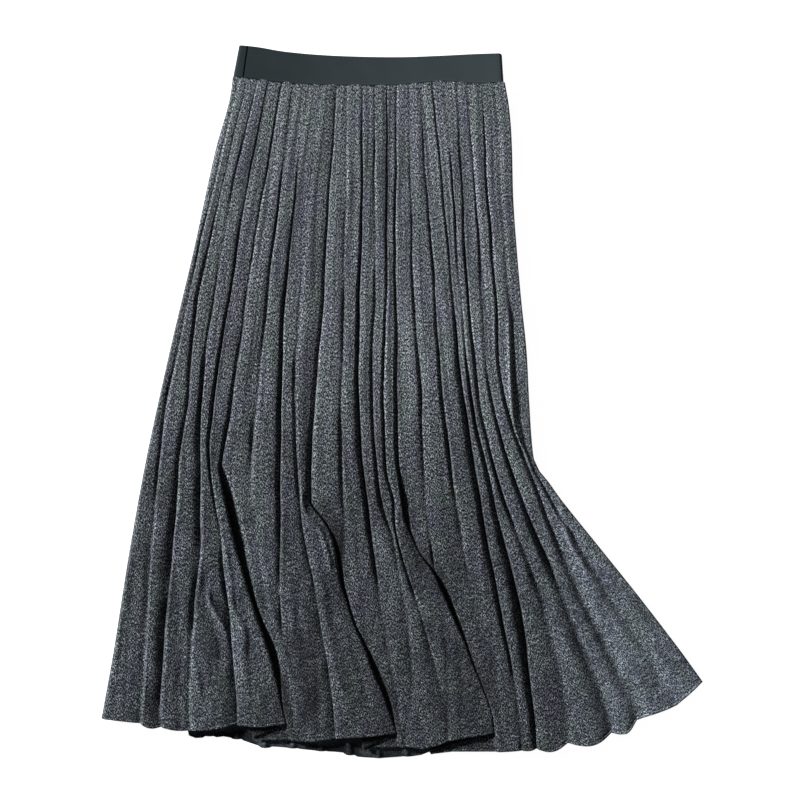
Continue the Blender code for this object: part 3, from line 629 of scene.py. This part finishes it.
def creased(x, down):
    """Depth and painted shade of the small creases and ridges at x, with a painted highlight where the shade
    is below 0.
    """
    depth, shade = 0 * x, 0 * x
    for half_width, deep, dark, *points in CREASES:
        first, last = points[0][0], points[-1][0]
        reach = ease(first - CREASE_FADE, first, down) * (1 - ease(last, last + CREASE_FADE, down))
        near = np.exp(-((x - curve(points, np.clip(down, first, last))) / half_width) ** 2) * reach
        depth, shade = depth + deep * near, shade + dark * near
    return depth, shade


def tone(x, down):
    """Painted shade darkens the knit towards the hem and in the toppled pleats, and painted light makes it
    paler where it flares at the right.
    """
    to_right = ease(-150, 150, x)
    flare = ease(90, 240, x - 0.25 * (down - 600))
    waist = 0.91 + 0.03 * to_right
    thigh = 0.84 + 0.18 * to_right - 0.1 * (1 - ease(-220, -90, x))
    lobes = ease(-200, -90, x) * (1 - flare)
    hem = 0.53 + 0.13 * ease(-290, -230, x) - 0.18 * lobes + 0.39 * flare
    return lerp(lerp(waist, thigh, ease(100, 330, down)), hem, ease(300, 600, down))


def front_grid():
    """The middle of the front knit by row and column; how far it laps over; each column's pleat; the painted
    light and shade on its colour.
    """
    columns = front_columns()
    fractions = row_fractions(FRONT_ROWS - len(HEM_EDGE), EDGE_FROM)
    before_hem, edge = np.array(HEM_EDGE).T
    grid = np.zeros((FRONT_ROWS, len(columns), 3))
    lapped, painted_shading = np.zeros((2, *grid.shape[:2]))
    for index, column in enumerate(columns):
        join = curve(BAND_JOIN, column.place(np.array([float(BAND_JOIN[0][1])]))[0])
        uneven = 0.7 + 0.5 * math.sin(2.7 * column.pleat.number)
        top = join + 1 - SCALLOP * uneven * column.arch
        down = np.concatenate([section_down(fractions, top, column.hem_down), column.hem_down - before_hem])
        x, height, painted_shade = column.place(down)
        crease, shade = creased(x, down)
        variation = wobble(x, down) * ease(60, 160, down) - crease * (1 - painted_shade)
        height = height + (1 - column.under) * variation
        below_band = ease(join + OVER_WITHIN[0], join + OVER_WITHIN[1], down)
        height = np.maximum(height, lerp(FRONT_LOW, WAIST_OVER, 1 - below_band))
        height[-len(edge):] += edge
        grid[:, index] = np.stack([x, down, height], 1)
        lapped[:, index] = column.lapped(down)
        # painted shade in the grooves, gaps and creases and painted highlight on the ridges, times the
        # painted light and shade of each region
        painted_shade = np.clip(painted_shade, 0, 1)
        darker = (1 - PAINTED_GROOVE_SHADE * painted_shade) * (1 - PAINTED_CREASE_SHADE * shade * (1 - painted_shade))
        painted_shading[:, index] = tone(x, down) * darker
    return grid, lapped, np.array([column.pleat.number for column in columns]), painted_shading


# ---- back panel
def back_x(share, down):
    left, right, gore = curve(LEFT_SIDE, down), curve(RIGHT_SIDE, down), curve(BACK_GORE, down)
    return lerp(left, gore, share) + (right - gore) * share ** 5


def back_hem_down(share):
    down = LEVEL_HEM
    for _ in range(20):
        down = curve(BACK_HEM, back_x(share, down))
    return down


def back_grid():
    """x, down, height of the middle of the back knit: flat faces with a fold standing up between them."""
    columns = [(0, 0, 0)]
    for pleat in range(1, BACK_PLEATS):
        columns += [(pleat / BACK_PLEATS, side, (1 - abs(side)) ** 0.8) for side in FOLD_SIDES]
        columns += [((pleat + step) / BACK_PLEATS, 0, 0) for step in FACE_STEPS]
    columns.append((1, 0, 0))
    fractions = row_fractions(BACK_ROWS)
    grid = np.zeros((len(fractions), len(columns), 3))
    for index, (share, side, crest) in enumerate(columns):
        top = curve(BAND_JOIN, back_x(share, BAND_JOIN[0][1])) + SEAM_GAP
        down = section_down(fractions, top, back_hem_down(share))
        width = curve(RIGHT_SIDE, down) - curve(LEFT_SIDE, down)
        half_fold = np.minimum(0.16 * width / BACK_PLEATS, 4.5)
        grid[:, index] = np.stack([back_x(share, down) + side * half_fold, down,
                                   KNIT / 2 + crest * BACK_FOLD_HEIGHT + 0 * down], 1)
    return grid


def back_painted_light_and_shade(grid):
    """Painted light on the wrong side where the front hem's shadow falls, and painted shade beyond it, so
    that the strip below the hem looks even.
    """
    return lerp(3.2, 0.45, ease(3, 9, grid[..., 1] - curve(FRONT_HEM, grid[..., 0])))


# ---- waistband
def band_grid():
    """The flattened tape from its top edge to its lower edge; its end laps over its start at the left."""
    low, high = ELASTIC / 2, BAND_FRONT_HEIGHT
    radius, middle = (high - low) / 2, (high + low) / 2
    edge, thicker = np.array(BAND_EDGE).T
    fractions = np.concatenate([edge, np.linspace(0.1, 0.9, BAND_ROWS), 1 - edge[::-1]])
    swell = np.concatenate([thicker, np.zeros(BAND_ROWS), thicker[::-1]])
    front_steps, back_steps = BAND_STEPS
    grid = []
    for fraction, more in zip(fractions, swell):
        left = lerp(BAND_TOP[0][0], BAND_JOIN[0][0], fraction) + ELASTIC / 2 + radius
        right = lerp(BAND_TOP[-1][0], BAND_JOIN[-1][0], fraction) - ELASTIC / 2 - radius
        offsets, lifts = np.array(LAP_END).T
        offsets = offsets - radius + LAP_SLANT * fraction * (offsets > radius)
        ring = [(left + offset, high + lift + more) for offset, lift in zip(offsets, lifts)]
        ring += [(lerp(left + offsets[-1], right, step / front_steps), high + more)
                 for step in range(1, front_steps)]
        ring += [(right + radius * math.sin(angle), middle + (radius + more) * math.cos(angle))
                 for angle in BAND_BENDS]
        ring += [(lerp(right, left, step / back_steps), low) for step in range(back_steps)]
        ring += [(left - radius * math.sin(angle),
                  middle - (radius + more) * math.cos(angle) + LAP_END[0][1] / 2 * (1 - math.cos(angle)))
                 for angle in BAND_BENDS]
        x, height = np.array(ring).T
        corner = np.clip(x - (BAND_TOP[-1][0] - CORNER), 0, CORNER)
        top = curve(BAND_TOP, x) + CORNER - np.sqrt(np.maximum(CORNER ** 2 - corner ** 2, 0))
        grid.append(np.stack([x, lerp(top, curve(BAND_JOIN, x) + 0.2, fraction), height], 1))
    return np.array(grid)


# ---- walls
def unit(x, z):
    size = np.maximum(np.hypot(x, z), 1e-6)
    return x / size, z / size


def cloth_mesh(name, grid, thickness, lapped=None, closed=False, patch=0, painted_shading=(1, 1)):
    """A closed wall of cloth around a grid of (x, down, height) points, with a map of the cloth in metres.

    Its sides lie straight above and below the grid, or to both sides of the fold where it is `lapped`.
    `patch` numbers the strips of the map, and the painted light and shade on the colour is given for the
    upper and the lower side.
    """
    rows, count = grid.shape[:2]
    wide = count if closed else count - 1
    around = np.pad(grid, ((0, 0), (1, 1), (0, 0)), "wrap" if closed else "edge")
    behind, ahead = around[:, :-2], around[:, 2:]
    out_x, out_z = unit(behind[..., 2] - ahead[..., 2], ahead[..., 0] - behind[..., 0])
    if lapped is not None:
        out_x, out_z = unit(out_x * lapped, lerp(1, out_z, lapped))
    middle = np.stack([grid[..., 0], LENGTH / 2 - grid[..., 1], grid[..., 2]], -1)
    reach = thickness / 2 * np.stack([out_x, 0 * out_x, out_z], -1)
    kept = np.arange(0, rows, 2)
    points = np.concatenate([(middle + reach).reshape(-1, 3), (middle - reach)[kept].reshape(-1, 3)]) * MM
    above = np.arange(rows * count).reshape(rows, count)
    below = (rows * count + np.arange(len(kept) * count)).reshape(len(kept), count)

    # place on the cloth: across from the middle of its patch, and down from the waist
    across = np.pad(np.cumsum(np.linalg.norm(ahead - grid, axis=2), 1), ((0, 0), (1, 0)))[:, :wide + 1]
    fall = np.pad(np.cumsum(np.linalg.norm(np.diff(grid, axis=0), axis=2), 0), ((1, 0), (0, 0)))
    if closed:
        above, below, fall = (np.pad(each, ((0, 0), (0, 1)), "wrap") for each in (above, below, fall))
    patch = np.broadcast_to(patch, count)[:wide]
    centre = np.zeros((rows, wide))
    for value in np.unique(patch):
        inside = np.flatnonzero(patch == value)
        centre[:, inside] = (across[:, inside[:1]] + across[:, inside[-1:] + 1]) / 2
    centre -= PATCH_APART * patch
    faces, maps = [], []

    def quads(each):
        return [each[:-1, :-1], each[1:, :-1], each[1:, 1:], each[:-1, 1:]]

    def add_faces(corners, u, v, turned):
        """Faces from lists of their corners, and of the corners' places on the cloth."""
        order = -1 if turned else 1
        faces.extend(np.stack(corners, -1).reshape(-1, len(corners))[:, ::order].tolist())
        maps.append(np.stack([np.stack(u, -1), np.stack(v, -1)], -1).reshape(-1, len(corners), 2)[:, ::order])

    for index, picked, turned in ((above, np.arange(rows), False), (below, kept, True)):
        left, right = across[picked, :-1] - centre[picked], across[picked, 1:] - centre[picked]
        add_faces(quads(index), [left[:-1], left[1:], right[1:], right[:-1]], quads(-fall[picked]), turned)
    for row, turned in ((0, False), (-1, True)):
        left, right, down = across[row, :-1], across[row, 1:], -fall[row, :-1]
        add_faces([above[row, :-1], above[row, 1:], below[row, 1:], below[row, :-1]],
                  [left, right, right, left], [down, down, down - thickness, down - thickness], turned)
    if not closed:
        for side, turned in ((0, True), (-1, False)):
            upper, down, none = above[:, side], -fall[:, side], np.zeros(len(kept) - 1)
            add_faces([upper[:-1:2], upper[1::2], upper[2::2], below[1:, side], below[:-1, side]],
                      [none, none, none, none + thickness, none + thickness],
                      [down[:-1:2], down[1::2], down[2::2], down[2::2], down[:-1:2]], turned)
    mesh = bpy.data.meshes.new(name)
    mesh.from_pydata(points.tolist(), [], faces)
    places = np.concatenate([each.reshape(-1, 2) for each in maps]) * MM
    mesh.uv_layers.new(name="cloth").uv.foreach_set("vector", places.astype(np.float32).ravel())
    upper, lower = (np.broadcast_to(each, (rows, count)) for each in painted_shading)
    painted_shading = np.concatenate([upper.ravel(), lower[kept].ravel()]).astype(np.float32)
    mesh.attributes.new("tone", "FLOAT", "POINT").data.foreach_set("value", painted_shading)
    mesh.shade_smooth()
    mesh.set_sharp_from_angle(angle=math.radians(80))
    return mesh


def add_object(name, data):
    thing = bpy.data.objects.new(name, data)
    bpy.context.scene.collection.objects.link(thing)
    return thing


def add_piece(mesh, material, node):
    mesh.materials.append(material)
    piece = add_object(mesh.name, mesh)
    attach(piece, "root")
    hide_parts(node)
    return piece


# ---- materials
# the knit's colours from its ground to the palest fibre, on its right and on its wrong side; the wrong side's
# are darker, partly for its plainer knit and partly as painted shade for the inside of the back
RAMP_PLACES = (0, 0.09, 0.24, 1)
RIGHT_SIDE_RAMP = ((0.0045, 0.0056, 0.0085), (0.032, 0.036, 0.0435), (0.082, 0.0905, 0.1035),
                   (0.35, 0.378, 0.404))
WRONG_SIDE_AND_SHADE_RAMP = ((0.004, 0.005, 0.0065), (0.0088, 0.0105, 0.0127), (0.0168, 0.0198, 0.0231),
                   (0.057, 0.067, 0.076))
VIOLET = (1.005, 0.972, 1.055, 1)
GREEN = (0.992, 1.066, 0.95, 1)
ELASTIC_COLOURS = ((0.0047, 0.0079, 0.0093, 1), (0.0252, 0.034, 0.037, 1))
RIB = 0.0011  # metres from rib to rib of the elastic, and from thread to thread along it
THREAD = 0.0009


class Nodes:
    """Short calls for building a material's nodes."""

    def __init__(self, name):
        self.material = bpy.data.materials.new(name)
        self.material.use_nodes = True
        self.tree = self.material.node_tree
        self.shader = self.tree.nodes["Principled BSDF"]

    def fill(self, node, inputs):
        for key, value in inputs.items():
            if isinstance(value, bpy.types.NodeSocket):
                self.tree.links.new(value, node.inputs[key])
            else:
                node.inputs[key].default_value = value

    def add(self, kind, inputs=None, **settings):
        node = self.tree.nodes.new("ShaderNode" + kind)
        for key, value in settings.items():
            setattr(node, key, value)
        self.fill(node, inputs or {})
        return node

    def maths(self, operation, a, b=0):
        return self.add("Math", {0: a, 1: b}, operation=operation).outputs[0]

    def plus(self, a, b):
        return self.maths("ADD", a, b)

    def times(self, a, b):
        return self.maths("MULTIPLY", a, b)

    def vector(self, x, y, z):
        return self.add("CombineXYZ", {0: x, 1: y, 2: z}).outputs[0]

    def part(self, vector, axis):
        return self.add("SeparateXYZ", {0: vector}).outputs[axis]

    def scaled(self, vector, by):
        return self.add("VectorMath", {0: vector, 1: by}, operation="MULTIPLY").outputs[0]

    def between(self, value, low, high, to_low=0, to_high=1):
        """From `to_low` to `to_high` as the value goes from `low` to `high`."""
        return self.add("MapRange", {0: value, 1: low, 2: high, 3: to_low, 4: to_high}).outputs[0]

    def mix(self, factor, a, b):
        return self.add("Mix", {0: factor, 6: a, 7: b}, data_type="RGBA").outputs[2]

    def noise(self, vector, scale, detail, roughness=0.6):
        return self.add("TexNoise", {"Vector": vector, "Scale": scale, "Detail": detail,
                                               "Roughness": roughness}).outputs["Fac"]

    def finish(self, colour, height, strength, distance):
        bump = self.add("Bump", {"Height": height, "Strength": strength, "Distance": distance})
        self.fill(self.shader, {"Base Color": colour, "Normal": bump.outputs[0]})


def knit_material(name, ramp, contrast=1):
    """Charcoal heather: pale wisps of fibre, most of them along the wales, on a near-black ground."""
    n = Nodes(name)
    cloth = n.add("UVMap", uv_map="cloth").outputs[0]
    place = n.part(cloth, "Y")  # metres; less than 0 below the waist
    low = n.between(place, -0.3, -0.58)
    # painted light and shade set on the mesh, as a factor on the colour and on how pale the fibres show
    variation = n.add("Attribute", attribute_name="tone").outputs["Fac"]

    def by_painted_light_and_shade(dark, pale):
        return n.between(variation, 0.5, 1.2, dark, pale)

    def wisps(angle, slim, scale):
        turned = n.add("VectorRotate", {"Vector": cloth, "Angle": angle}, rotation_type="Z_AXIS")
        return n.noise(n.scaled(turned.outputs[0], (1, slim, 1)), scale, 1, 0.5)

    def wave(slim, scale, detail):
        """-1 to 1, in patches that are the longer along the wales the smaller `slim` is."""
        return n.between(n.noise(n.scaled(cloth, (1, slim, 1)), scale, detail), 0.3, 0.7, -1, 1)

    def uneven(slim, scale, detail, at_waist, at_hem):
        """A factor about 1, and how far it swings at the waist and towards the hem."""
        return n.plus(n.times(wave(slim, scale, detail), n.between(low, 0, 1, at_waist, at_hem)), 1)

    pale = n.plus(n.times(wisps(0.06, 0.38, 1240), 0.6), n.times(wisps(-0.3, 0.36, 1000), 0.4))
    pale = n.between(pale, by_painted_light_and_shade(0.495, 0.42), by_painted_light_and_shade(0.555, 0.61))
    pale = n.maths("POWER", pale, by_painted_light_and_shade(2.2, 1.3))
    wales = uneven(0.02, 200, 1, 0.6, 0.1)
    patches = n.times(uneven(0.8, 150, 1, 0.12, 0.42), uneven(0.35, 45, 2, 0.12, 0.42))
    mottle = n.times(n.between(place, -0.12, -0.36, 0.1, 0.62), n.between(variation, 1.04, 1.14, 1, 0.25))
    patches = n.times(patches, n.plus(n.times(wave(0.5, 640, 1), mottle), 1))
    pale = n.times(n.times(pale, contrast), n.times(wales, patches))
    colours = n.add("ValToRGB", {"Fac": n.times(pale, 0.6)})
    stops = colours.color_ramp.elements
    for stop_place in RAMP_PLACES[1:-1]:
        stops.new(stop_place)
    for stop, colour in zip(stops, ramp):
        stop.color = colour + (1,)
    tint = n.between(n.noise(n.scaled(cloth, (1, 0.4, 1)), 44, 1.5), 0.33, 0.67)
    bluer = n.vector(1, n.between(low, 0, 1, 1, 1.035), n.between(low, 0, 1, 1.01, 1.075))
    tint = n.scaled(n.mix(tint, VIOLET, GREEN), bluer)
    # the colour times the painted light and shade
    colour = n.scaled(n.scaled(colours.outputs["Color"], tint), n.vector(variation, variation, variation))
    n.finish(colour, pale, 0.4, 0.00012)
    n.fill(n.shader, {"Roughness": 0.95, "Sheen Weight": 0.04, "Sheen Roughness": 0.5,
                      "Specular IOR Level": 0.12})
    return n.material


def elastic_material():
    """Smooth near-black elastic with fine ribs along the tape, with painted light making it a little paler
    towards the right.
    """
    n = Nodes("elastic_tape")
    tape = n.add("UVMap", uv_map="cloth").outputs[0]
    ribs, threads = (n.maths("SINE", n.times(n.part(tape, axis), 2 * PI / apart))
                     for axis, apart in (("Y", RIB), ("X", THREAD)))
    # painted light: the tape is made paler towards the right
    to_right = n.between(n.part(n.add("TexCoord").outputs["Object"], "X"), -0.19, 0.12)
    fuzz = n.maths("SUBTRACT", n.noise(tape, 900, 2), 0.5)
    pale = n.plus(n.times(to_right, 0.75), n.times(n.noise(tape, 22, 2, 0.5), 0.4))
    colour = n.mix(n.plus(pale, n.times(fuzz, 0.7)), *ELASTIC_COLOURS)
    n.finish(colour, n.plus(n.times(ribs, 0.5), n.times(threads, 0.2)), 0.35, 0.0002)
    n.fill(n.shader, {"Roughness": 0.95, "Specular IOR Level": 0.1, "Sheen Weight": 0.02})
    return n.material


# ---- pieces
knit = knit_material("heather_knit_front", RIGHT_SIDE_RAMP)
# the inside of the back: a darker copy of the knit, partly plainer wrong side and partly painted shade
shaded_wrong_side = knit_material("heather_knit_back", WRONG_SIDE_AND_SHADE_RAMP, 0.8)

grid, lapped, patch, painted_shading = front_grid()
mesh = cloth_mesh("front_cloth", grid, KNIT, lapped, patch=patch, painted_shading=(painted_shading, painted_shading))
front = add_piece(mesh, knit, "front_panel")
grid = back_grid()
mesh = cloth_mesh("back_cloth", grid, KNIT, painted_shading=(back_painted_light_and_shade(grid), 1))
back = add_piece(mesh, shaded_wrong_side, "back_panel")
back.data.materials.append(knit)
for face in back.data.polygons:
    face.material_index = int(face.normal.z < 0)
mesh = cloth_mesh("band_elastic", band_grid(), ELASTIC, closed=True)
band = add_piece(mesh, elastic_material(), "waistband")

# ---- surface, light and camera
KEY_PLACE = Vector((-3.9, 1.87, 1.84))
LENS = 85
SENSOR = 36
VIEW_WIDTH = 0.912  # metres of the scene from side to side, at the top of the cloth
CLOTH_TOP = 0.008
floor_mesh = bpy.data.meshes.new("floor")
floor_mesh.from_pydata([(-3, -3, 0), (3, -3, 0), (3, 3, 0), (-3, 3, 0)], [], [(0, 1, 2, 3)])
surface = Nodes("pale_surface")
surface.fill(surface.shader, {"Base Color": (0.25, 0.25, 0.25, 1), "Roughness": 0.9,
                              "Emission Color": (1, 1, 1, 1), "Emission Strength": 0.955})
floor_mesh.materials.append(surface.material)
floor = add_object("floor", floor_mesh)
floor.location.z = -0.0002

key_data = bpy.data.lights.new("key", "AREA")
key_data.shape = "DISK"
key_data.size = 0.8
key_data.energy = 860
key = add_object("key", key_data)
key.location = KEY_PLACE
key.rotation_mode = "QUATERNION"
key.rotation_quaternion = (-KEY_PLACE).to_track_quat("-Z", "Y")
world = bpy.data.worlds.new("studio")
world.use_nodes = True
glow = world.node_tree.nodes["Background"].inputs
glow["Color"].default_value = (1, 1, 1, 1)
glow["Strength"].default_value = 0.16
scene = bpy.context.scene
scene.world = world
scene.view_settings.view_transform = "Standard"

camera_data = bpy.data.cameras.new("camera")
camera_data.lens = LENS
camera_data.sensor_width = SENSOR
camera = add_object("camera", camera_data)
camera.location = (-0.0024, 0.0023, VIEW_WIDTH * LENS / SENSOR + CLOTH_TOP)
scene.camera = camera
